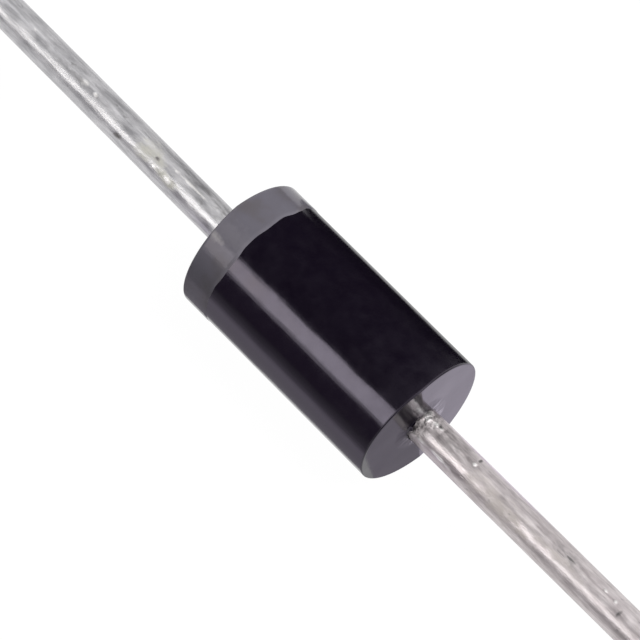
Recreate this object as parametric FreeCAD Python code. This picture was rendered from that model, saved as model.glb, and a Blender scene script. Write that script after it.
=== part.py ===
import FreeCAD, Part
import math
import os
from FreeCAD import Vector

# Axial rectifier diode in the large moulded outline, in millimetres.
# The leads run along X with the cathode at -X. The origin is the middle of the body, on the leads' axis.
# The two halves of the body's mould close along Y, so the parting plane is y = 0.

# Moulded body
BODY_DIAMETER = 5.2
BODY_LENGTH = 9.25        # over the ridges that the parting plane leaves on the end faces
END_DRAFT_DEG = 3.0       # each half of an end face leans back by this much from the parting plane
EDGE_RADIUS = 0.06        # where the barrel turns into an end face

# Printed band at the cathode end
BAND_WIDTH = 1.36         # from the end's ridge to the band's inner edge
INK_THICKNESS = 0.03

# Leads, both from the same headed wire
LEAD_DIAMETER = 1.28
LEAD_FREE_LENGTH = 26.0   # outside the body
LEAD_TIP_CHAMFER = 0.12   # left by the cropping tool
HEAD_DIAMETER = 3.0
HEAD_THICKNESS = 0.55
HEAD_ROUND = 0.12         # rounding that the heading die leaves on the head's back rim
NECK_DIAMETER = 2.0       # where the tapered neck leaves the back of the head
NECK_LENGTH = 0.6
SHANK_DRAFT_DEG = 1.0     # the heading die leaves the moulded-in shank tapered, so that it draws out
PEDESTAL_HEIGHT = 0.12    # raised contact on the front of the head

# Rectifying junction
DIE_SIDE = 2.1
DIE_THICKNESS = 0.28
DIE_BEVEL = 0.1           # sloping edge on the anode side, where the junction comes out
PEDESTAL_INSET = 0.08     # the pedestal stays inside the die's bevel by this much
SOLDER_THICKNESS = 0.06
SOLDER_SPREAD = 0.05      # the solder is wider at the die than at the pedestal
COATING_COVER = 0.3       # thickness of the silicone over the widest thing that it covers
COATING_LAP = 0.25        # how far the silicone climbs round each head's rim

AXIS = Vector(1, 0, 0)
PARTING_NORMAL = Vector(0, 1, 0)
CENTRE = Vector(0, 0, 0)

# Stations along +X, from the middle outwards
DIE_FACE_X = DIE_THICKNESS / 2
CONTACT_X = DIE_FACE_X + SOLDER_THICKNESS
HEAD_FRONT_X = CONTACT_X + PEDESTAL_HEIGHT
HEAD_BACK_X = HEAD_FRONT_X + HEAD_THICKNESS
NECK_END_X = HEAD_BACK_X + NECK_LENGTH
BODY_END_X = BODY_LENGTH / 2
LEAD_TIP_X = BODY_END_X + LEAD_FREE_LENGTH

PEDESTAL_RADIUS = DIE_SIDE / 2 - DIE_BEVEL - PEDESTAL_INSET
DIE_CORNER_RADIUS = DIE_SIDE / math.sqrt(2)


def turned(half_section):
    """A solid of revolution about the leads' axis, from its closed half section in x and radius."""
    return Part.Face(half_section).revolve(CENTRE, AXIS, 360)


def mirrored_to_cathode(shape):
    return shape.mirror(CENTRE, AXIS)


def drafted_block(half_length, reach):
    """The space between the two end faces of one half of the mould, on the +Y side of the parting plane."""
    lean = reach * math.tan(math.radians(END_DRAFT_DEG))
    outline = [
        Vector(-half_length, 0, -reach),
        Vector(half_length, 0, -reach),
        Vector(half_length - lean, reach, -reach),
        Vector(lean - half_length, reach, -reach),
    ]
    return Part.Face(Part.makePolygon(outline + outline[:1])).extrude(Vector(0, 0, 2 * reach))


def both_halves(half):
    return half.fuse(half.mirror(CENTRE, PARTING_NORMAL))


def barrel(diameter, half_length):
    return Part.makeCylinder(diameter / 2, 2 * half_length, AXIS * -half_length, AXIS)


def moulding_outside():
    """The body as moulded: a round barrel, with end faces drafted both ways from the parting plane."""
    half = barrel(BODY_DIAMETER, BODY_END_X).common(drafted_block(BODY_END_X, BODY_DIAMETER))
    rims = [edge for edge in half.Edges if not isinstance(edge.Curve, Part.Line)]
    return both_halves(half.makeFillet(EDGE_RADIUS, rims))


def printed_band():
    """The ring of ink on the barrel, from the band's inner edge to where the end's rounding starts."""
    ink = barrel(BODY_DIAMETER + 2 * INK_THICKNESS, BODY_END_X).cut(barrel(BODY_DIAMETER, BODY_END_X))
    printed = Part.makeBox(BAND_WIDTH, 2 * BODY_DIAMETER, 2 * BODY_DIAMETER,
                           Vector(-BODY_END_X, -BODY_DIAMETER, -BODY_DIAMETER))
    return ink.common(printed).common(both_halves(drafted_block(BODY_END_X - EDGE_RADIUS, BODY_DIAMETER)))


def headed_lead():
    """The anode lead: straight wire outside, and inside the body a drafted shank, a neck and a nail head."""
    wire_radius = LEAD_DIAMETER / 2
    head_radius = HEAD_DIAMETER / 2
    shank_flare = (BODY_END_X - NECK_END_X) * math.tan(math.radians(SHANK_DRAFT_DEG))
    corners = [
        Vector(CONTACT_X, 0, 0),
        Vector(CONTACT_X, PEDESTAL_RADIUS, 0),
        Vector(HEAD_FRONT_X, PEDESTAL_RADIUS, 0),
        Vector(HEAD_FRONT_X, head_radius, 0),
        Vector(HEAD_BACK_X, head_radius, 0),
        Vector(HEAD_BACK_X, NECK_DIAMETER / 2, 0),
        Vector(NECK_END_X, wire_radius + shank_flare, 0),
        Vector(BODY_END_X, wire_radius, 0),
        Vector(LEAD_TIP_X - LEAD_TIP_CHAMFER, wire_radius, 0),
        Vector(LEAD_TIP_X, wire_radius - LEAD_TIP_CHAMFER, 0),
        Vector(LEAD_TIP_X, 0, 0),
    ]
    lead = turned(Part.makePolygon(corners + corners[:1]))
    circles = [edge for edge in lead.Edges if isinstance(edge.Curve, Part.Circle)]
    rims = [edge for edge in circles if math.isclose(edge.Curve.Radius, head_radius)]
    back_rim = max(rims, key=lambda edge: edge.Curve.Center.x)
    return lead.makeFillet(HEAD_ROUND, [back_rim])


def silicon_die():
    """The square chip, with its edge bevelled on the anode side."""
    chip = Part.makeBox(DIE_THICKNESS, DIE_SIDE, DIE_SIDE, Vector(-DIE_FACE_X, -DIE_SIDE / 2, -DIE_SIDE / 2))
    anode_face = max(chip.Faces, key=lambda face: face.CenterOfMass.x)
    return chip.makeChamfer(DIE_BEVEL, anode_face.Edges)


def solder_disc():
    """The solder under the anode head, spread a little at the die."""
    return Part.makeCone(PEDESTAL_RADIUS + SOLDER_SPREAD, PEDESTAL_RADIUS, SOLDER_THICKNESS,
                         AXIS * DIE_FACE_X, AXIS)


def coating_bead():
    """The bead of silicone before the pieces inside it are taken out."""
    widest = max(HEAD_DIAMETER / 2, DIE_CORNER_RADIUS)
    lap_x = HEAD_FRONT_X + COATING_LAP
    crown = Part.Arc(
        Vector(lap_x, HEAD_DIAMETER / 2, 0),
        Vector(0, widest + COATING_COVER, 0),
        Vector(-lap_x, HEAD_DIAMETER / 2, 0),
    ).toShape()
    inside = Part.makePolygon([
        Vector(-lap_x, HEAD_DIAMETER / 2, 0),
        Vector(-lap_x, 0, 0),
        Vector(lap_x, 0, 0),
        Vector(lap_x, HEAD_DIAMETER / 2, 0),
    ])
    return turned(Part.Wire([crown] + inside.Edges))


def build():
    anode_lead = headed_lead()
    cathode_lead = mirrored_to_cathode(anode_lead)
    anode_solder = solder_disc()
    cathode_solder = mirrored_to_cathode(anode_solder)
    die = silicon_die()
    junction = [anode_lead, cathode_lead, anode_solder, cathode_solder, die]
    bead = coating_bead()
    return {
        "moulded_body": moulding_outside().cut([bead, anode_lead, cathode_lead]),
        "cathode_band": printed_band(),
        "cathode_lead": cathode_lead,
        "anode_lead": anode_lead,
        "silicon_die": die,
        "cathode_solder": cathode_solder,
        "anode_solder": anode_solder,
        "junction_coating": bead.cut(junction),
    }


os.makedirs("parts", exist_ok=True)
for name, shape in build().items():
    solids = shape.Solids
    if len(solids) != 1 or not solids[0].isValid():
        raise ValueError(f"{name} should be one sound solid, but has {len(solids)}")
    solids[0].exportStep(f"parts/{name}.step")
    box = solids[0].optimalBoundingBox(False)
    print(f"{name}: {solids[0].Volume:.3f} mm3, {box.XLength:.2f} x {box.YLength:.2f} x {box.ZLength:.2f} mm")
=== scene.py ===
# %% [markdown]
# # Dressing an axial rectifier diode
# The part is a round black moulding, about 5 mm across, with a printed grey ring at its cathode end and a
# tinned copper wire out of each end. Its shape is simple, so nearly everything that the eye reads comes
# from two things: what the glossy moulding mirrors, and how the plated wire breaks up the light. The steps
# below place the camera and the lights first, then the finishes, then the pieces, because each finish is
# judged by what it mirrors.
#
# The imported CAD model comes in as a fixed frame, in metres. It could be dressed by giving its nodes
# materials alone. That is enough for the sealed pieces, but the four that show get new meshes in the same
# places, with the small unevenness that a drawing leaves out.

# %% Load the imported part
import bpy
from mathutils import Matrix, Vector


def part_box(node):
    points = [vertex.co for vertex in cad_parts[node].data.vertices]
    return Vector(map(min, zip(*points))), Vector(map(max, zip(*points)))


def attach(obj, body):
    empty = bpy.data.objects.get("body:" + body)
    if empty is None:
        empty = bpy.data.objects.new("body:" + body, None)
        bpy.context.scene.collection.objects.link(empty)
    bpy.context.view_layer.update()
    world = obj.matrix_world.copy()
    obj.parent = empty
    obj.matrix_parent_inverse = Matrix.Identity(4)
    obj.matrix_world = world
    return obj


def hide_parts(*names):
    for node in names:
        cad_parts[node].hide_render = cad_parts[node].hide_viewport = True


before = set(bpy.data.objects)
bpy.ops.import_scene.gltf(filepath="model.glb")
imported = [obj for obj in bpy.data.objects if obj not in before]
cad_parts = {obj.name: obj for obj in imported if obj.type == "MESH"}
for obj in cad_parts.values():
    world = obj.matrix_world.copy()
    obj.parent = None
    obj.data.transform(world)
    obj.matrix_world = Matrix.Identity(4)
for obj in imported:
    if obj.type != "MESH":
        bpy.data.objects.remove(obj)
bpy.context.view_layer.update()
print("nodes:", sorted(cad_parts))

# %% [markdown]
# ## Modules and tones
# Blender's Python comes in modules: `bpy` holds the scene, `bmesh` builds meshes in memory, and `mathutils`
# has vectors and noise. Blender's usual view of a render bends the bright tones, which would turn pure
# white into light grey. The Standard view keeps each tone as it was rendered, so that the background stays
# as white as in the photograph.

# %% Blender's modules and the scene
import math
import bmesh
import bpy
from mathutils import Matrix, Vector, noise

scene = bpy.context.scene
scene.view_settings.view_transform = "Standard"
MM = 0.001
print("Blender", bpy.app.version_string, "view transform", scene.view_settings.view_transform)

# %% [markdown]
# ## The drawing's sizes
# The sizes are in millimetres, as in the CAD source. They could all be typed in again, but then a change
# there would leave these pieces behind. So the body's radius and length and the wire's tip are measured
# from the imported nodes, and only what a box can't tell is named here.

# %% Sizes in millimetres
body_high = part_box("moulded_body")[1]
wire_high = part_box("anode_lead")[1]
BODY_RADIUS = round(body_high.z / MM, 3)
BODY_END = round(body_high.x / MM, 3)
TIP = round(wire_high.x / MM, 3)
WIRE_RADIUS = 0.64
END_DRAFT = math.tan(math.radians(3.0))   # each half of an end face leans back from the parting plane
EDGE = 0.04                               # rounding of the body's rims
INK = 0.03
print("body radius", BODY_RADIUS, "half length", BODY_END, "wire tip", TIP)

# %% [markdown]
# ## Camera
# The photograph looks down on the part from about 64 degrees above the bench, with a long lens. The
# direction and the distance were solved from the outline of the body: how its two ends differ in width
# fixes the distance, and how open the ellipse of the end face is fixes the tilt. A constraint could keep
# the camera on a target, but it can't hold the roll to a fraction of a degree. A camera in Blender looks
# along its own -Z with +Y up, so its axes are written straight into a matrix.

# %% Place the camera
AZIMUTH = math.radians(47.96)
ELEVATION = math.radians(63.64)
level = math.cos(ELEVATION)
BACK = Vector((math.sin(AZIMUTH) * level, -math.cos(AZIMUTH) * level, math.sin(ELEVATION)))
RIGHT = Vector((0, 0, 1)).cross(BACK).normalized()
UP = BACK.cross(RIGHT)
DISTANCE = 164 * MM
aim = (UP * 0.395 - RIGHT * 0.299) * MM

lens = bpy.data.cameras.new("photo_lens")
lens.sensor_width = 36.0
lens.lens = 273.4
lens.clip_start = 0.001
camera = bpy.data.objects.new("photo_camera", lens)
axes = Matrix((RIGHT, UP, BACK)).transposed().to_4x4()
camera.matrix_world = Matrix.Translation(aim + BACK * DISTANCE) @ axes
scene.collection.objects.link(camera)
scene.camera = camera
print("camera at", [round(v, 4) for v in camera.matrix_world.translation], "m, lens", lens.lens, "mm")

# %% [markdown]
# ## A helper for node materials
# Shaders are built as small trees. They could be wired with separate lines for each node, value and link,
# but the recipe is soon lost among them. This helper makes one node, sets its options, and fills its inputs
# either with a plain value or with a link from another node, so that a finish reads from top to bottom.

# %% Node helper
def node(tree, kind, inputs=None, **options):
    made = tree.nodes.new("ShaderNode" + kind)
    for name, value in options.items():
        setattr(made, name, value)
    for key, value in (inputs or {}).items():
        if isinstance(value, bpy.types.NodeSocket):
            tree.links.new(value, made.inputs[key])
        else:
            made.inputs[key].default_value = value
    return made


def math_node(tree, operation, *values):
    return node(tree, "Math", dict(enumerate(values)), operation=operation).outputs[0]


def seen_rays(tree):
    """1 for rays from the camera, from a mirror or through glass, and 0 for those that gather soft light."""
    path = node(tree, "LightPath")
    either = math_node(tree, "MAXIMUM", path.outputs["Is Camera Ray"], path.outputs["Is Glossy Ray"])
    return math_node(tree, "MAXIMUM", either, path.outputs["Is Transmission Ray"])


def empty_material(name):
    material = bpy.data.materials.new(name)
    material.use_nodes = True
    material.node_tree.nodes.clear()
    return material, material.node_tree


def gray(level):
    return (level, level, level, 1)


print("helpers: node, math_node, seen_rays, empty_material, gray")

# %% [markdown]
# ## The white studio
# The background of the photograph is pure white. Lighting it to white would also flood the part with light,
# so the world is white only for rays that look at it, directly or in a mirror, and gives a low even fill to
# everything else.

# %% World
FILL = 0.25
world = bpy.data.worlds.new("white_studio")
scene.world = world
world.use_nodes = True
tree = world.node_tree
tree.nodes.clear()
fill = node(tree, "Background", {"Color": gray(1), "Strength": FILL})
white = node(tree, "Background", {"Color": gray(1), "Strength": 1.0})
mixed = node(tree, "MixShader", {0: seen_rays(tree), 1: fill.outputs[0], 2: white.outputs[0]})
node(tree, "OutputWorld", {"Surface": mixed.outputs[0]})
print("world:", world.name, "with a fill of", FILL)

# %% [markdown]
# ### Bench
# The part lies on a white bench, which keeps only a faint soft shadow. A shadow catcher on a clear film
# could do that, but the moulding would then mirror no bench. So most of the floor is a plain white glow for
# the rays that look at it, as in the world, and the rest is a real matte surface that takes the shadow.

# %% Floor
FLOOR_Z = -(BODY_RADIUS + INK)
FLOOR_HALF = 4.0     # metres
SEEN_GLOW = 0.88     # how much of the floor is glow for the rays that look at it
material, tree = empty_material("bench_white")
matte = node(tree, "BsdfDiffuse", {"Color": gray(0.35)})
glow = node(tree, "Emission", {"Color": gray(1), "Strength": 1.12})
share = math_node(tree, "MULTIPLY", seen_rays(tree), SEEN_GLOW)
mixed = node(tree, "MixShader", {0: share, 1: matte.outputs[0], 2: glow.outputs[0]})
node(tree, "OutputMaterial", {"Surface": mixed.outputs[0]})


def mesh_object(name, bm, material):
    """Turns a bmesh in metres into an object at the origin."""
    mesh = bpy.data.meshes.new(name)
    bm.to_mesh(mesh)
    bm.free()
    mesh.materials.append(material)
    made = bpy.data.objects.new(name, mesh)
    scene.collection.objects.link(made)
    return made


bm = bmesh.new()
bmesh.ops.create_grid(bm, x_segments=1, y_segments=1, size=FLOOR_HALF)
bmesh.ops.translate(bm, verts=bm.verts, vec=(0, 0, FLOOR_Z * MM))
bench = mesh_object("bench", bm, material)
print("bench at z", FLOOR_Z, "mm")

# %% [markdown]
# ## Lamps
# The printed ring is nearly matte, so it shows where the main light stands: its right side is twice as
# bright as its left. One lamp all round would flatten that, so a large soft key lamp stands high on the
# right, past the anode end, where the moulding's side doesn't mirror it to the camera. A second, weak one
# low in front lifts the ring's left side. It is kept out of mirrors, because there the moulding is black.

# %% Key and side lamp
LAMP_DISTANCE = 0.6


def area_lamp(name, direction, size, power):
    lamp = bpy.data.lights.new(name, "AREA")
    lamp.shape = "SQUARE"
    lamp.size = size
    lamp.energy = power
    holder = bpy.data.objects.new(name, lamp)
    holder.location = Vector(direction).normalized() * LAMP_DISTANCE
    holder.rotation_mode = "QUATERNION"
    holder.rotation_quaternion = holder.location.to_track_quat("Z", "Y")
    scene.collection.objects.link(holder)
    return holder


key = area_lamp("key_softbox", (0.45, 0.36, 0.82), 0.34, 3.55)
side = area_lamp("side_softbox", (0.0, -0.99, 0.14), 0.25, 0.12)
side.visible_glossy = False
for lamp in (key, side):
    print(lamp.name, "at", [round(v, 3) for v in lamp.location])

# %% [markdown]
# ## Cards for the mirror
# A glossy black moulding shows no light of its own, only a picture of the studio wrapped round it. Product
# photographers shape that picture with cards: a narrow strip light for the long bright streak, black flags
# beside it for the deep black, and white paper on the bench for the soft edge. They could be area lamps,
# but a lamp also lights what is matte, so each would change the ring and the bench too. A card here is a
# glowing mesh that only mirrored rays see. It lights nothing and casts no shadow.

# %% Card material and object
VIOLET = (1.0, 0.93, 1.07, 1)


def card_material(name, level, color=gray(1)):
    material, tree = empty_material(name)
    glow = node(tree, "Emission", {"Color": color, "Strength": level})
    node(tree, "OutputMaterial", {"Surface": glow.outputs[0]})
    return material


def as_card(name, bm, material):
    bmesh.ops.scale(bm, verts=bm.verts, vec=(MM, MM, MM))
    card = mesh_object(name, bm, material)
    card.visible_camera = False
    card.visible_diffuse = False
    card.visible_transmission = False
    card.visible_shadow = False


print("helpers: card_material, as_card")

# %% [markdown]
# ### Bent and flat cards
# Flat cards would do round the part too, but each would show at another angle at each place. A side view of
# a cylinder mirrors one thin ring of directions, so these cards are grids bent round the part's axis, where
# a lean in degrees is a place on the barrel. Cards on the bench lie flat, as paper does.

# %% Card shapes
TENT = 100     # radius of the bent cards, in millimetres


def arc_card(name, x_span, lean_span, material, taper=0):
    """A card bent round the part's axis. Its lean is in degrees from straight up, tipped towards -Y.

    The taper is added to the second lean at the card's high-x end and taken from it at the low-x end.
    """
    bm = bmesh.new()
    pieces_around = max(2, int(abs(lean_span[1] - lean_span[0]) / 3))
    bmesh.ops.create_grid(bm, x_segments=1, y_segments=pieces_around, size=1.0)
    for vert in bm.verts:
        along, around = vert.co.x, (vert.co.y + 1) / 2
        lean = math.radians(lean_span[0] + (lean_span[1] + taper * along - lean_span[0]) * around)
        x = (x_span[0] + x_span[1] + along * (x_span[1] - x_span[0])) / 2
        vert.co = (x, -TENT * math.sin(lean), TENT * math.cos(lean))
    as_card(name, bm, material)


def flat_card(name, corners, material, height):
    """A card on the bench from its corners in x and y."""
    bm = bmesh.new()
    bm.faces.new([bm.verts.new((x, y, FLOOR_Z + height)) for x, y in corners])
    as_card(name, bm, material)


print("helpers: arc_card, flat_card")

# %% [markdown]
# ### Cards round the axis
# The camera looks a little along the part, so each piece mirrors its own stretch of x: the far wire the
# cards below -46, the moulding those from about -46 to -24, and the near wire those above. The strip light
# is one lamp on the real set. Here it is cut where the pieces change, so that its streak can be bright on
# the black moulding and softer on the pale tin. On the moulding it has a straight bright part, a warmer one
# that the ring mirrors, and a dim lower border. The flags and the lines of white paper follow the same
# cuts.

# %% Strip light, flags and paper round the axis
WIRE_LEAN = (60.5, 32.0)
flag_black = card_material("flag_black", 0.01)
flag_gray = card_material("flag_gray", 0.60)
flag_violet = card_material("flag_violet", 0.14, (1.12, 0.88, 1.30, 1))
paper_line = card_material("paper_line", 1.7)
arc_cards = [   # name, from x to x, from lean to lean, material, taper
    ("strip_light", (-39, -23.5), (59.0, 33.7), card_material("strip_glow", 5.3), -3.6),
    ("strip_light_warm", (-46.5, -39), (59.0, 38.7),
     card_material("strip_warm_glow", 5.3, (1, 0.955, 0.84, 1)), -1.6),
    ("strip_light_soft", (-46.5, -23.5), (64.0, 59.0), card_material("strip_soft_glow", 1.9), 0),
    ("strip_light_end", (-100, -46.5), WIRE_LEAN, card_material("strip_end_glow", 1.25), 0),
    ("strip_light_start", (-23.5, 8), WIRE_LEAN, card_material("strip_start_glow", 1.70), 0),
    ("flag_side", (-47, -23), (92, 64.0), flag_violet, 0),
    ("flag_low", (-23, 8), (92, 64.5), flag_gray, 0),
    ("flag_far", (-100, -48), (92, 66), card_material("flag_pale", 0.55), 0),
    ("flag_top", (-47.5, -24), (34, -91.5), card_material("flag_top_black", 0.03, VIOLET), 0),
    ("paper_line_low", (-90, -50), (-10, -28), paper_line, 0),
    ("paper_line_high", (-19, 8), (-10, -28), paper_line, 0),
    ("wire_paper", (-24, 8), (-35, -91), card_material("wire_paper", 1.3), 0),
    ("flag_end", (13, 120), (92, -91), flag_black, 0),
]
for name, x_span, lean_span, material, taper in arc_cards:
    arc_card(name, x_span, lean_span, material, taper)
print("cards round the axis:", ", ".join(card[0] for card in arc_cards))

# %% [markdown]
# ### Cards on the bench
# The lower flanks of the moulding and the whole end face mirror the bench close by, where the floor alone
# would be white. A sheet of paper in front carries painted light and shadow: a painted contact shadow next
# to the part, then a painted bright line of light, then a fade into grey where that light falls off, which
# the moulding's left flank shows as a soft edge. That fade could be a row of narrow cards, but one card with
# a colour ramp has no joints. The other cards shade the far side and the end face: the grey card beside the
# far side and the grey card in front of the end face are the part's painted shadow on the bench.

# %% Paper and flags on the bench
material, tree = empty_material("bench_paper_painted_light_and_shadow")
place = node(tree, "TexCoord").outputs["Object"]
across = node(tree, "SeparateXYZ", {0: place}).outputs["Y"]
PAINTED_FADE_DEPTH = 30 * MM
distance = math_node(tree, "MULTIPLY", across, -1 / PAINTED_FADE_DEPTH)
# painted light and shadow on the bench: a painted contact shadow next to the part, a painted bright line of
# light, then the fade where that light falls off
ramp = node(tree, "ValToRGB", {0: distance})
ramp.color_ramp.elements[0].position, ramp.color_ramp.elements[0].color = 0.10, gray(0.32)
ramp.color_ramp.elements[1].position, ramp.color_ramp.elements[1].color = 1.0, gray(0.16)
for position, level in ((0.14, 0.51), (0.22, 0.95), (0.25, 0.95), (0.31, 0.53), (0.46, 0.34), (0.8, 0.22)):
    ramp.color_ramp.elements.new(position).color = gray(level)
shade = node(tree, "Mix", {0: 1.0, 6: ramp.outputs[0], 7: VIOLET},
             data_type="RGBA", blend_type="MULTIPLY").outputs[2]
glow = node(tree, "Emission", {"Color": shade, "Strength": 1.08})
node(tree, "OutputMaterial", {"Surface": glow.outputs[0]})
bench_cards = [   # name, corners, material, height: the wire's flag lies on the paper
    ("paper_front_painted_light", [(-7, -2.9), (5.5, -2.9), (-4, -30), (-20, -30)], material, 0.02),
    ("flag_front", [(-20, -30), (-4, -30), (-30, -130), (-64, -130)], flag_violet, 0.02),
    ("flag_back", [(2.9, 6.6), (-6.0, 6.6), (-8.0, 14), (-10.0, 20), (-17, 25), (-64, 130), (-35, 130)],
     flag_black, 0.02),
    # painted contact shadow of the part on the bench beside its far side
    ("rim_painted_shadow", [(3.9, 3.0), (-4.3, 3.0), (-6.0, 6.6), (2.9, 6.6)], flag_gray, 0.02),
    ("flag_wire", [(3.4, -9), (20, -9), (9, -60), (-13, -60)], flag_gray, 0.03),
    # painted shadow of the part on the bench in front of the end face; the white card beside it is the lit
    # bench
    ("end_shade", [(4.5, -1.9), (8.5, -0.6), (8.5, 2.6), (4.5, -0.1)],
     card_material("end_painted_shadow", 0.60, VIOLET), 0.02),
    ("end_white", [(4.5, -0.1), (8.5, 2.6), (8.5, 7), (4.5, 7)],
     card_material("end_paper", 1.17, VIOLET), 0.02),
]
for name, corners, material, height in bench_cards:
    flat_card(name, corners, material, height)
print("cards on the bench:", ", ".join(card[0] for card in bench_cards))

# %% [markdown]
# ## Finishes
# Every finish is a Principled shader whose colour, roughness and bump come from noise. A picture could be
# wrapped round each piece, but it would need seams and would blur close up, and noise on Object coordinates
# has neither fault. The coordinates are in metres, so a noise scale of 1000 makes features about a
# millimetre apart. A Mapping node stretches them along X where the real surface was drawn through a die.

# %% Shared finish pieces
def finish(name):
    material, tree = empty_material(name)
    shader = node(tree, "BsdfPrincipled")
    node(tree, "OutputMaterial", {"Surface": shader.outputs[0]})
    return material, tree, shader


def grain(tree, scale, stretch=(1, 1, 1), detail=2.0, offset=(0, 0, 0)):
    """Noise from 0 to 1 on Object coordinates. A stretch below 1 makes it longer in that direction."""
    place = node(tree, "TexCoord").outputs["Object"]
    scales = [scale * s for s in stretch]
    stretched = node(tree, "Mapping", {"Vector": place, "Location": offset, "Scale": scales}).outputs[0]
    return node(tree, "TexNoise", {"Vector": stretched, "Scale": 1.0, "Detail": detail}).outputs["Fac"]


def spread(tree, value, low, high, source=(0.3, 0.7)):
    """Maps a noise value onto a range of roughness or height."""
    return node(tree, "MapRange", {"Value": value, "From Min": source[0], "From Max": source[1],
                                   "To Min": low, "To Max": high}).outputs[0]


def tint(tree, value, *stops):
    """A colour ramp from (position, colour) stops."""
    ramp = node(tree, "ValToRGB", {0: value})
    elements = ramp.color_ramp.elements
    while len(elements) < len(stops):
        elements.new(0.5)
    for element, (position, color) in zip(elements, stops):
        element.position = position
        element.color = (*color, 1)
    return ramp.outputs[0]


def dent(tree, height, distance, before=None):
    """A bump of that depth in metres, on top of the one before."""
    inputs = {"Height": height, "Distance": distance, "Strength": 1.0}
    if before is not None:
        inputs["Normal"] = before
    return node(tree, "Bump", inputs).outputs[0]


print("helpers: finish, grain, spread, tint, dent")

# %% [markdown]
# ### Marks at listed places
# A real part has a few nicks, smudges and scuffs, each in one place. They could be modelled, but most only
# change the colour or the gloss. So each is a soft ball of influence round a point on the surface, frayed
# by noise, and a finish uses it for colour, gloss or height. A point is named by its x and by how far it is
# turned from the side that faces the camera.
# The same marks also place the painted glints on the wires, and the painted light and glint on the ring.

# %% Marks at chosen places
VIEW_UP = Vector((0, -0.3150, 0.9491))      # the direction to the camera, laid flat across the axis
VIEW_SIDE = Vector((0, 0.9491, 0.3150))     # a quarter turn from it, towards +Y


def on_round(x, turn_deg, radius):
    """A point on a round surface, turned from the side that faces the camera towards +Y."""
    turn = math.radians(turn_deg)
    return (Vector((x, 0, 0)) + (VIEW_UP * math.cos(turn) + VIEW_SIDE * math.sin(turn)) * radius) * MM


def marks_at(tree, places, ragged, radius=WIRE_RADIUS):
    """1 in the middle of each mark and 0 away from them all.

    A mark is its x, its turn in degrees, its length along the axis and its width.
    """
    place = node(tree, "TexCoord").outputs["Object"]
    total = None
    for x, turn_deg, length, width in places:
        middle = on_round(x, turn_deg, radius)
        apart = node(tree, "VectorMath", {0: place, 1: middle}, operation="SUBTRACT").outputs[0]
        per_size = (1 / (length * MM), 1 / (width * MM), 1 / (width * MM))
        squeezed = node(tree, "VectorMath", {0: apart, 1: per_size}, operation="MULTIPLY").outputs[0]
        away = node(tree, "VectorMath", {0: squeezed}, operation="LENGTH").outputs["Value"]
        spot = spread(tree, math_node(tree, "ADD", away, ragged), 1.0, 0.0, (0.3, 1.5))
        total = spot if total is None else math_node(tree, "MAXIMUM", total, spot)
    return total


print("the camera's side of the wire at x = 10 mm:", [round(v, 5) for v in on_round(10, 0, WIRE_RADIUS)])

# %% [markdown]
# ### Moulded epoxy
# The moulding compound is a filled black epoxy, pressed against a polished mould. It is nearly black with a
# touch of violet, mirrors like a varnish, and has a slow waviness that makes the edges of a mirrored lamp
# waver. Fine streaks run along the axis, the face is uneven round each mouth, and the rims are a little
# duller, where the mould's edge wears. A clear coat over matt black would mirror as well, but one glossy
# surface with the bumps in layers keeps each of them in reach. The rims are found by measuring, in the
# shader, how far a point is past the barrel and past the leaning face.

# %% Epoxy finish
RIM_ROUGHNESS = 0.3


def epoxy():
    material, tree, shader = finish("moulding_epoxy")
    cloud = grain(tree, 900, detail=3.0)
    shader.inputs["Metallic"].default_value = 0.0
    shader.inputs["IOR"].default_value = 1.5
    shader.inputs["Specular Tint"].default_value = (0.91, 0.82, 1.0, 1.0)
    tree.links.new(tint(tree, cloud, (0.35, (0.0045, 0.0026, 0.0072)), (0.68, (0.0054, 0.0034, 0.0084))),
                   shader.inputs["Base Color"])
    place = node(tree, "SeparateXYZ", {0: node(tree, "TexCoord").outputs["Object"]})
    across = node(tree, "CombineXYZ", {"Y": place.outputs["Y"], "Z": place.outputs["Z"]}).outputs[0]
    away = node(tree, "VectorMath", {0: across}, operation="LENGTH").outputs["Value"]
    reach = math_node(tree, "ABSOLUTE", place.outputs["X"])
    off_parting = math_node(tree, "ABSOLUTE", place.outputs["Y"])
    upright = math_node(tree, "MULTIPLY_ADD", off_parting, END_DRAFT, reach)
    past_side = math_node(tree, "GREATER_THAN", upright, (BODY_END - EDGE) * MM)
    past_face = math_node(tree, "GREATER_THAN", away, (BODY_RADIUS - EDGE) * MM)
    rim = math_node(tree, "MULTIPLY", past_side, past_face)
    gloss = spread(tree, grain(tree, 2600, detail=4.0), 0.11, 0.17)
    tree.links.new(node(tree, "Mix", {0: rim, 2: gloss, 3: RIM_ROUGHNESS}, data_type="FLOAT").outputs[0],
                   shader.inputs["Roughness"])
    slow = dent(tree, grain(tree, 520, detail=1.0), 0.026 * MM)
    brushed = dent(tree, grain(tree, 1000, (0.5, 9.0, 9.0), detail=2.0), 0.0018 * MM, slow)
    near_mouth = spread(tree, away, 1.0, 0.0, (0.70 * MM, 1.15 * MM))
    lumps = math_node(tree, "MULTIPLY", near_mouth, grain(tree, 2600, detail=3.0))
    uneven = dent(tree, lumps, 0.05 * MM, brushed)
    tree.links.new(dent(tree, grain(tree, 5200, detail=2.0), 0.0004 * MM, uneven), shader.inputs["Normal"])
    return material


EPOXY = epoxy()
print("finish:", EPOXY.name)

# %% [markdown]
# ### Marking ink
# The ring is a thin layer of grey ink, rolled on over the epoxy. It takes the side light evenly and mirrors
# the strip light only faintly. Where the ink is thin a little of the black body shows through. A paler patch
# on its side towards the camera is painted light, which lifts that side to the level of the rest where the
# key light falls off, and a painted glint marks its outer end. The same epoxy with a grey colour would
# mirror too much, so the ink gets a low specular level and a fine bump of its own.

# %% Ink finish
# the first tone is painted light for the ring's side towards the camera, the second a painted glint
INK_PAINTED_LIGHT = (0.186, 0.175, 0.201, 1)
INK_PAINTED_GLINT = (0.36, 0.34, 0.35, 1)


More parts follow.
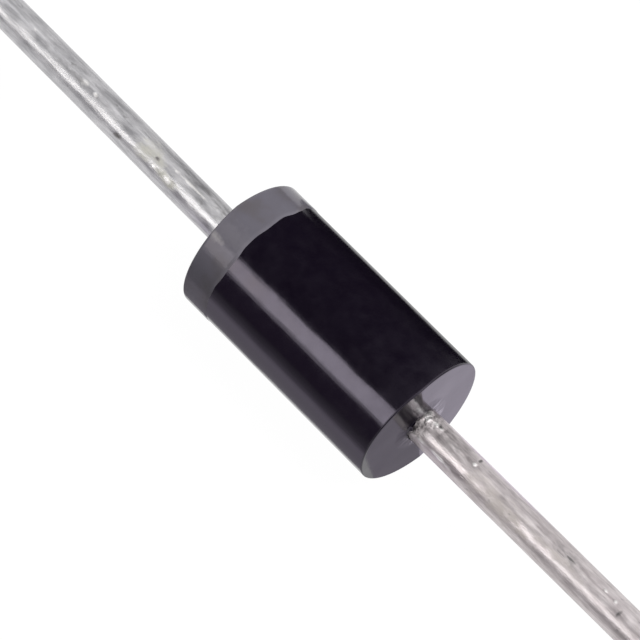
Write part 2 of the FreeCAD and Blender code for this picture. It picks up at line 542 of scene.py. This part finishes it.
def ink():
    material, tree, shader = finish("marking_ink")
    patches = grain(tree, 1100, detail=4.0, offset=(3.1, 0.4, 1.7))
    shader.inputs["Metallic"].default_value = 0.0
    shader.inputs["IOR"].default_value = 1.5
    shader.inputs["Specular IOR Level"].default_value = 0.17
    shader.inputs["Specular Tint"].default_value = (0.98, 0.90, 1.0, 1.0)
    rolled = tint(tree, patches, (0.32, (0.136, 0.125, 0.138)), (0.52, (0.151, 0.142, 0.168)),
                  (0.72, (0.160, 0.152, 0.180)))
    ragged = spread(tree, grain(tree, 5000, detail=3.0), -0.4, 0.4)
    # painted light: a paler patch on the ring's side towards the camera, where the key light falls off
    painted_light_patch = marks_at(tree, [(-3.95, -1, 1.3, 0.42)], ragged, BODY_RADIUS + INK)
    rolled_and_lit = node(tree, "Mix", {0: painted_light_patch, 6: rolled, 7: INK_PAINTED_LIGHT}, data_type="RGBA").outputs[2]
    # painted glint: a pale mark at the ring's outer end
    painted_glint = marks_at(tree, [(-4.34, -9.3, 0.28, 0.11)], ragged, BODY_RADIUS + INK)
    tree.links.new(node(tree, "Mix", {0: painted_glint, 6: rolled_and_lit, 7: INK_PAINTED_GLINT}, data_type="RGBA").outputs[2],
                   shader.inputs["Base Color"])
    tree.links.new(spread(tree, grain(tree, 2400, detail=3.0), 0.07, 0.14), shader.inputs["Roughness"])
    coarse = dent(tree, grain(tree, 1100, detail=2.0), 0.0016 * MM)
    tree.links.new(dent(tree, grain(tree, 7500, detail=3.0), 0.0015 * MM, coarse), shader.inputs["Normal"])
    return material


INK_FINISH = ink()
print("finish:", INK_FINISH.name)

# %% [markdown]
# ### Tin plating
# The wire was drawn through a die, then dipped in tin. Long fine lines run along it, and the tin lies on
# them in cloudy patches of different gloss. Handling has left dark pits, raised burrs, speckled smudges and
# dull patches, and the cropped tips show bare copper. Each burr is painted pale as a glint, and a few long
# thin ones are painted highlight lines. Plain brushed metal would have the lines but look new and even. So
# two stretched noises carry the lines and the clouds, and the listed marks lie over them: pits darken the
# tin and sink, burrs stand up and carry painted glints. Near the body the tin has crept into lumps.

# %% Tin finish
PIT_TONE = (0.19, 0.18, 0.18, 1)
# the pale tone of a burr is a painted glint
BURR_GLINT_TONE = (0.86, 0.84, 0.83, 1)
BARE_COPPER = (0.58, 0.39, 0.31, 1)
CUT_DEPTH = 0.06          # how far the bare copper reaches from the tip, in millimetres
DULL_ROUGHNESS = 0.62


def tin(name, dark, pale, pit_places, glint_and_burr_places, smudge_places, dull_places, dull_color, offset):
    """Tin in cloudy shades from dark to pale. The offset moves its noise, so that no two wires match."""
    material, tree, shader = finish(name)
    lines = grain(tree, 1000, (1.6, 12.0, 12.0), detail=3.0, offset=offset)
    clouds = grain(tree, 1000, (0.9, 3.0, 3.0), detail=5.0, offset=offset)
    pits = grain(tree, 1000, (3.0, 6.0, 6.0), detail=1.0, offset=offset)
    blend = node(tree, "Mix", {0: 0.55, 2: lines, 3: clouds}, data_type="FLOAT").outputs[0]
    plated = tint(tree, blend, (0.38, dark), (0.62, pale))
    ragged = spread(tree, grain(tree, 4000, (0.6, 1, 1), detail=3.0), -0.7, 0.7)
    marks = marks_at(tree, pit_places, ragged)
    glints_and_burrs = marks_at(tree, glint_and_burr_places, ragged)
    dulled = marks_at(tree, dull_places, ragged)
    flecks = grain(tree, 1000, (3.0, 7.0, 7.0), detail=2.0, offset=offset)
    speckle = spread(tree, flecks, 0.0, 0.5, (0.38, 0.66))
    smudged = math_node(tree, "MULTIPLY", marks_at(tree, smudge_places, ragged), speckle)
    pitted = math_node(tree, "MAXIMUM", smudged, spread(tree, pits, 0.0, 0.5, (0.70, 0.80)))
    spoiled = math_node(tree, "MAXIMUM", marks, pitted)
    mild = math_node(tree, "MULTIPLY", dulled, 0.75)
    faded = node(tree, "Mix", {0: mild, 6: plated, 7: (*dull_color, 1)}, data_type="RGBA").outputs[2]
    # painted glints: each burr and long thin streak is painted pale
    glinted = node(tree, "Mix", {0: glints_and_burrs, 6: faded, 7: BURR_GLINT_TONE}, data_type="RGBA").outputs[2]
    worn = node(tree, "Mix", {0: spoiled, 6: glinted, 7: PIT_TONE}, data_type="RGBA").outputs[2]
    place = node(tree, "SeparateXYZ", {0: node(tree, "TexCoord").outputs["Object"]})
    reach = math_node(tree, "ABSOLUTE", place.outputs["X"])
    cut = math_node(tree, "GREATER_THAN", reach, (TIP - CUT_DEPTH) * MM)
    color = node(tree, "Mix", {0: cut, 6: worn, 7: BARE_COPPER}, data_type="RGBA").outputs[2]
    shader.inputs["Metallic"].default_value = 1.0
    tree.links.new(color, shader.inputs["Base Color"])
    gloss = spread(tree, clouds, 0.28, 0.44)
    tree.links.new(node(tree, "Mix", {0: dulled, 2: gloss, 3: DULL_ROUGHNESS}, data_type="FLOAT").outputs[0],
                   shader.inputs["Roughness"])
    drawn = dent(tree, lines, 0.005 * MM)
    cloudy = dent(tree, clouds, 0.020 * MM, drawn)
    near_body = spread(tree, reach, 1.0, 0.0, ((BODY_END + 0.1) * MM, (BODY_END + 0.9) * MM))
    lumps = math_node(tree, "MULTIPLY", near_body, grain(tree, 4200, detail=3.0, offset=offset))
    crept = dent(tree, lumps, 0.05 * MM, cloudy)
    sunk = math_node(tree, "SUBTRACT", glints_and_burrs, spoiled)
    tree.links.new(dent(tree, sunk, 0.008 * MM, crept), shader.inputs["Normal"])
    return material


print("recipe for tin, with bare copper from", TIP - CUT_DEPTH, "mm on")

# %% [markdown]
# ### Tin on each wire
# Both wires come off one reel, but each was plated and handled on its own. One finish for both would be
# simpler, and would repeat each mark in the same place. So the recipe is used twice, with other shades,
# other noise and other marks.

# %% Tin of the two wires
# each burr mark below is a raised bump that carries a painted glint
CATHODE_TIN = tin(
    "tin_on_cathode_wire", dark=(0.36, 0.355, 0.37), pale=(0.61, 0.60, 0.615),
    pit_places=[(-10.3, -34, 0.16, 0.08), (-8.62, 6, 0.08, 0.05)],
    glint_and_burr_places=[(-15.26, 23, 0.10, 0.05), (-12.5, 17, 0.14, 0.07), (-11.9, 12, 0.08, 0.05),
                 (-8.56, -23, 0.12, 0.09), (-7.79, 20, 0.14, 0.06), (-7.83, -20, 0.12, 0.08),
                 (-6.75, 21, 0.70, 0.04)],
    smudge_places=[(-13.1, 10, 1.2, 0.12), (-6.4, 40, 1.0, 0.13), (-5.5, 32, 0.5, 0.14)],
    dull_places=[(-8.95, 4, 0.55, 0.30), (-7.95, -20, 0.55, 0.15)], dull_color=(0.50, 0.49, 0.44),
    offset=(1.3, 0.2, 0.7))
ANODE_TIN = tin(
    "tin_on_anode_wire", dark=(0.39, 0.35, 0.355), pale=(0.66, 0.61, 0.615),
    pit_places=[(7.12, 50, 0.05, 0.08), (14.18, 9, 0.05, 0.13), (5.35, 36, 0.10, 0.06),
                (11.75, 27, 0.30, 0.04), (11.35, 18, 0.22, 0.03)],
    glint_and_burr_places=[(7.1, 27, 0.07, 0.08), (13.83, 32, 0.09, 0.06), (13.33, 35, 0.07, 0.05),
                 (5.2, 30, 0.09, 0.06), (4.85, 24, 0.07, 0.08), (4.70, 36, 0.12, 0.14),
                 (5.40, 33, 0.08, 0.07), (5.95, -39, 0.60, 0.05)],
    smudge_places=[(11.7, 27, 0.95, 0.20), (5.9, 20, 0.8, 0.3)],
    dull_places=[(8.6, -12, 1.1, 0.34), (11.3, 6, 1.0, 0.11), (10.0, -27, 0.6, 0.10)],
    dull_color=(0.52, 0.48, 0.46), offset=(4.7, 2.2, 5.1))
print("finishes:", CATHODE_TIN.name, ANODE_TIN.name)

# %% [markdown]
# ## Turned pieces
# The body, the ring of ink and both wires are round, so each starts as half of its section, a line of
# points in x and radius. A Screw modifier could sweep the line too, but its mesh can't be bevelled or
# pushed before it is applied. So `spin` sweeps it into a real mesh at once, and a merge closes the seam and
# the poles. Everything is modelled in millimetres and scaled to metres at the end.

# %% Turning helper
STEPS_AROUND = 256


def turned(outline, steps, closed):
    bm = bmesh.new()
    points = [bm.verts.new((x, 0, radius)) for x, radius in outline]
    for first, second in zip(points, points[1:] + points[:1] * closed):
        bm.edges.new((first, second))
    bmesh.ops.spin(bm, geom=bm.verts[:] + bm.edges[:], cent=(0, 0, 0), axis=(1, 0, 0), angle=math.tau,
                   steps=steps, use_merge=True)
    bmesh.ops.remove_doubles(bm, verts=bm.verts, dist=0.0001)
    bmesh.ops.recalc_face_normals(bm, faces=bm.faces)
    return bm


def round_rim(bm, reach, radius, offset):
    """Bevels the edges that run round the axis at that radius and that distance from the middle."""
    def on_rim(vert):
        return abs(abs(vert.co.x) - reach) < 0.001 and abs(vert.co.yz.length - radius) < 0.001

    rims = [edge for edge in bm.edges if all(on_rim(vert) for vert in edge.verts)]
    bmesh.ops.bevel(bm, geom=rims, offset=offset, segments=6, profile=0.5, affect="EDGES", material=-1)


def lean_with_mould(bm, beyond):
    """The mould's halves open along Y, so each half of an end face leans back from the parting plane."""
    for vert in bm.verts:
        if abs(vert.co.x) > beyond:
            vert.co.x -= math.copysign(abs(vert.co.y) * END_DRAFT, vert.co.x)


print("helpers: turned, round_rim, lean_with_mould")

# %% [markdown]
# ### Handing a piece over
# A finished mesh becomes a piece of the part when it rides on the CAD body, takes the slot of its material
# and replaces the node that it dresses. It is shaded smooth, because a round surface shows no facets. Edges
# steeper than 28 degrees have to stay crisp. A modifier could split them by angle, but sharp marks in the
# mesh itself need nothing on top of it.

# %% Piece helper
SHARP_ABOVE = math.radians(28)


def into_piece(name, bm, material, replaced):
    bmesh.ops.scale(bm, verts=bm.verts, vec=(MM, MM, MM))
    for face in bm.faces:
        face.smooth = True
    piece = mesh_object(name, bm, material)
    piece.data.set_sharp_from_angle(angle=SHARP_ABOVE)
    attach(piece, "root")
    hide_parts(replaced)
    print(name, len(piece.data.vertices), "vertices,", len(piece.data.polygons), "faces")


print("helper: into_piece")

# %% [markdown]
# ### Body
# The body is one moulding round the sealed junction. Its half section runs along the end face, round the
# edge and along the barrel to the other end, and comes back through the cavity that the wire, its nail head
# and the silicone fill. A plain cylinder would do for this one view, but a section would show it solid.
# Where the wire comes out the compound has crept a little way along it, so each mouth ends in a thin uneven
# collar. Extra points beside each corner keep the flats flat when the surface is shaded smooth. The corners
# get a real bevel after the spin.

# %% Moulded body
HEAD_RADIUS = 1.5
HEAD_BACK_X = 0.87
NECK_RADIUS = 1.0
NECK_END_X = 1.47


def mirrored(points):
    return [(-x, radius) for x, radius in reversed(points)]


cavity = [(0, 1.79), (0.30, 1.73), (0.57, HEAD_RADIUS), (0.79, HEAD_RADIUS), (HEAD_BACK_X, 1.44),
          (HEAD_BACK_X, NECK_RADIUS), (NECK_END_X, 0.696)]
mouth = [(BODY_END + 0.06, 0.643), (BODY_END + 0.065, 0.66), (BODY_END + 0.02, 0.675), (BODY_END, 0.73)]
face = [(BODY_END, 1.2), (BODY_END, BODY_RADIUS - 2 * EDGE), (BODY_END, BODY_RADIUS)]
barrel = [(BODY_END - 2 * EDGE, BODY_RADIUS), (2.3, BODY_RADIUS)]
anode_half = cavity + mouth + face + barrel
bm = turned(anode_half + [(0, BODY_RADIUS)] + mirrored(anode_half[1:]), STEPS_AROUND, True)
round_rim(bm, BODY_END, BODY_RADIUS, EDGE)
for vert in bm.verts:
    out = abs(vert.co.x) - BODY_END
    if out > 0.001:     # only the collars stand proud of the end faces
        turn = vert.co.yz.normalized()
        rough = noise.noise(Vector((turn.x * 2.6, turn.y * 2.6, math.copysign(4, vert.co.x))))
        scant = 1.1 * max(0.0, turn.dot(VIEW_SIDE.yz) * 0.8 + turn.dot(VIEW_UP.yz) * 0.6)
        vert.co.x = math.copysign(BODY_END + out * max(0.1, 0.7 - scant + 3.2 * rough), vert.co.x)
lean_with_mould(bm, 4.3)
into_piece("epoxy_body", bm, EPOXY, "moulded_body")

# %% [markdown]
# ### Ring of ink
# The ring marks the cathode end. The ink is only 0.03 mm thick, so it could be a change of colour on the
# body. But a real layer has an edge that catches light, so it is a solid ring. Its inner edge thins out
# over a tenth of a millimetre and strays by a hair where the roller left it, which a table of turns and
# distances says. Its outer end follows the leaning end of the body.

# %% Cathode ring
BAND_EDGE = -3.29     # where the print ends, before its edge wavers
WAVER = [(-180, 0.01), (-140, -0.02), (-100, 0.02), (-70, -0.01), (-40, 0.0), (-28, 0.062), (-10, 0.058),
         (2, -0.010), (11, -0.017), (23, 0.025), (39, -0.018), (50, 0.045), (59, 0.020), (69, -0.055),
         (90, 0.0), (130, 0.03), (160, -0.015), (180, 0.01)]


def waver(turn_deg):
    """How far the ring's printed edge strays, in mm, at a turn from the camera's side towards +Y."""
    for (start, before), (end, after) in zip(WAVER, WAVER[1:]):
        if turn_deg <= end:
            part = (turn_deg - start) / (end - start)
            return before + (after - before) * (3 - 2 * part) * part * part
    return WAVER[-1][1]


ring_reach = BODY_END + 0.004
ink_top = BODY_RADIUS + INK - 0.01     # rolled a hundredth thinner than the drawing
section = [
    (-BODY_END + EDGE, BODY_RADIUS - 0.01), (-BODY_END + 0.01, BODY_RADIUS - EDGE),
    (-ring_reach, BODY_RADIUS - EDGE), (-ring_reach, ink_top), (-ring_reach + 3 * EDGE, ink_top),
    (BAND_EDGE - 0.16, ink_top), (BAND_EDGE - 0.10, ink_top - 0.002), (BAND_EDGE - 0.04, ink_top - 0.012),
    (BAND_EDGE, BODY_RADIUS), (BAND_EDGE, BODY_RADIUS - 0.01),
]
bm = turned(section, STEPS_AROUND, True)
round_rim(bm, ring_reach, ink_top, EDGE + INK - 0.005)
for vert in bm.verts:
    if vert.co.x > BAND_EDGE - 0.18:
        turn_deg = math.degrees(math.atan2(vert.co.yz.dot(VIEW_SIDE.yz), vert.co.yz.dot(VIEW_UP.yz)))
        vert.co.x += waver(turn_deg)
lean_with_mould(bm, 4.35)
into_piece("ink_ring", bm, INK_FINISH, "cathode_band")

# %% [markdown]
# ### Headed wires
# Each wire ends inside the body in an upset nail head with a low contact face, and a neck and a drafted
# shank lead back to the round wire. The tip keeps the small chamfer of the cropping tool. A curve with a
# round bevel would make the plain wire, but not the head, so it is turned like the body. The free length is
# divided into short steps, so that it can be bent later.

# %% Outline of a headed wire
CONTACT_X = 0.20
HEAD_FRONT_X = 0.32
PEDESTAL_RADIUS = 0.87
TIP_CHAMFER = 0.12


def wire_outline():
    shank = [(CONTACT_X, 0.0), (CONTACT_X, PEDESTAL_RADIUS), (HEAD_FRONT_X, PEDESTAL_RADIUS),
             (HEAD_FRONT_X, HEAD_RADIUS), (0.75, HEAD_RADIUS), (HEAD_BACK_X, 1.38),
             (HEAD_BACK_X, NECK_RADIUS), (NECK_END_X, 0.695)]
    root = [(BODY_END + 0.04 * i, WIRE_RADIUS) for i in range(20)]
    start = BODY_END + 0.8
    length = TIP - TIP_CHAMFER - start
    steps = int(length / 0.2)
    free = [(start + length * i / steps, WIRE_RADIUS) for i in range(steps + 1)]
    return shank + root + free + [(TIP, WIRE_RADIUS - TIP_CHAMFER), (TIP, 0.0)]


print("points in a wire's outline:", len(wire_outline()))

# %% [markdown]
# ### Wires off the reel
# No wire is quite straight or even once it has been on a reel and in a bath of tin. A lattice could bend
# it, but a few lines that move the points also bring the slow unevenness and the lumps of tin at the root.
# Each wire takes another seed, and the cathode's wire is turned round to the other side by a mirror.

# %% Leads
WIRE_STEPS_AROUND = 72
LEAN = 0.0053     # how far a wire strays sideways in each millimetre


def bent_wire(seed):
    """A wire on the +X side. The seed picks its unevenness and its sway."""
    bm = turned(wire_outline(), WIRE_STEPS_AROUND, False)
    for vert in bm.verts:
        free = vert.co.x - BODY_END
        if free > 0:
            settled = min(1.0, free / 0.6)
            uneven = noise.noise(Vector((vert.co.x / 1.7, vert.co.y * 1.2, vert.co.z * 1.2 + seed)))
            lump = max(0.0, noise.noise(Vector((vert.co.x * 3, vert.co.y * 3, vert.co.z * 3 + seed))))
            vert.co.yz *= 1.0 + 0.008 * settled * uneven + 0.09 * lump * max(0.0, 1.0 - free / 0.75)
            sway = math.sin(free / 7.0 + seed) - math.sin(seed)
            vert.co += VIEW_SIDE * (LEAN * free + 0.012 * sway) + VIEW_UP * 0.010 * sway
    return bm


into_piece("anode_wire", bent_wire(1.0), ANODE_TIN, "anode_lead")
bm = bent_wire(9.0)
bmesh.ops.scale(bm, verts=bm.verts, vec=(-1, 1, 1))
bmesh.ops.recalc_face_normals(bm, faces=bm.faces)
into_piece("cathode_wire", bm, CATHODE_TIN, "cathode_lead")

# %% [markdown]
# ## Pieces inside the body
# The chip, the two solder joints and the bead of silicone are sealed in, and only a section view shows
# them. They could be modelled again like the others, but nothing of wear or unevenness would be seen there.
# So they keep their CAD shapes, and each gets a finish of its own: polished silicon, dull solder and white
# rubber.

# %% Inner finishes
def inner(name, dark, pale, roughness, metallic, scale, depth):
    """A finish in patches from dark to pale, with a range of roughness and a bump in millimetres."""
    material, tree, shader = finish(name)
    patches = grain(tree, scale, detail=3.0)
    shader.inputs["Metallic"].default_value = metallic
    tree.links.new(tint(tree, patches, (0.3, dark), (0.7, pale)), shader.inputs["Base Color"])
    tree.links.new(spread(tree, patches, *roughness), shader.inputs["Roughness"])
    tree.links.new(dent(tree, patches, depth * MM), shader.inputs["Normal"])
    return material


SILICON = inner("silicon_chip", (0.075, 0.08, 0.10), (0.11, 0.115, 0.13), (0.08, 0.2), 0.6, 2500, 0.0008)
SOLDER = inner("soft_solder", (0.42, 0.42, 0.44), (0.58, 0.58, 0.60), (0.35, 0.55), 1.0, 3500, 0.004)
SILICONE = inner("junction_silicone", (0.72, 0.72, 0.69), (0.84, 0.84, 0.81), (0.4, 0.6), 0.0, 1800, 0.006)
for name, material in (("silicon_die", SILICON), ("cathode_solder", SOLDER), ("anode_solder", SOLDER),
                       ("junction_coating", SILICONE)):
    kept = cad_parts[name]
    kept.data.materials.clear()
    kept.data.materials.append(material)
print("inner pieces finished")
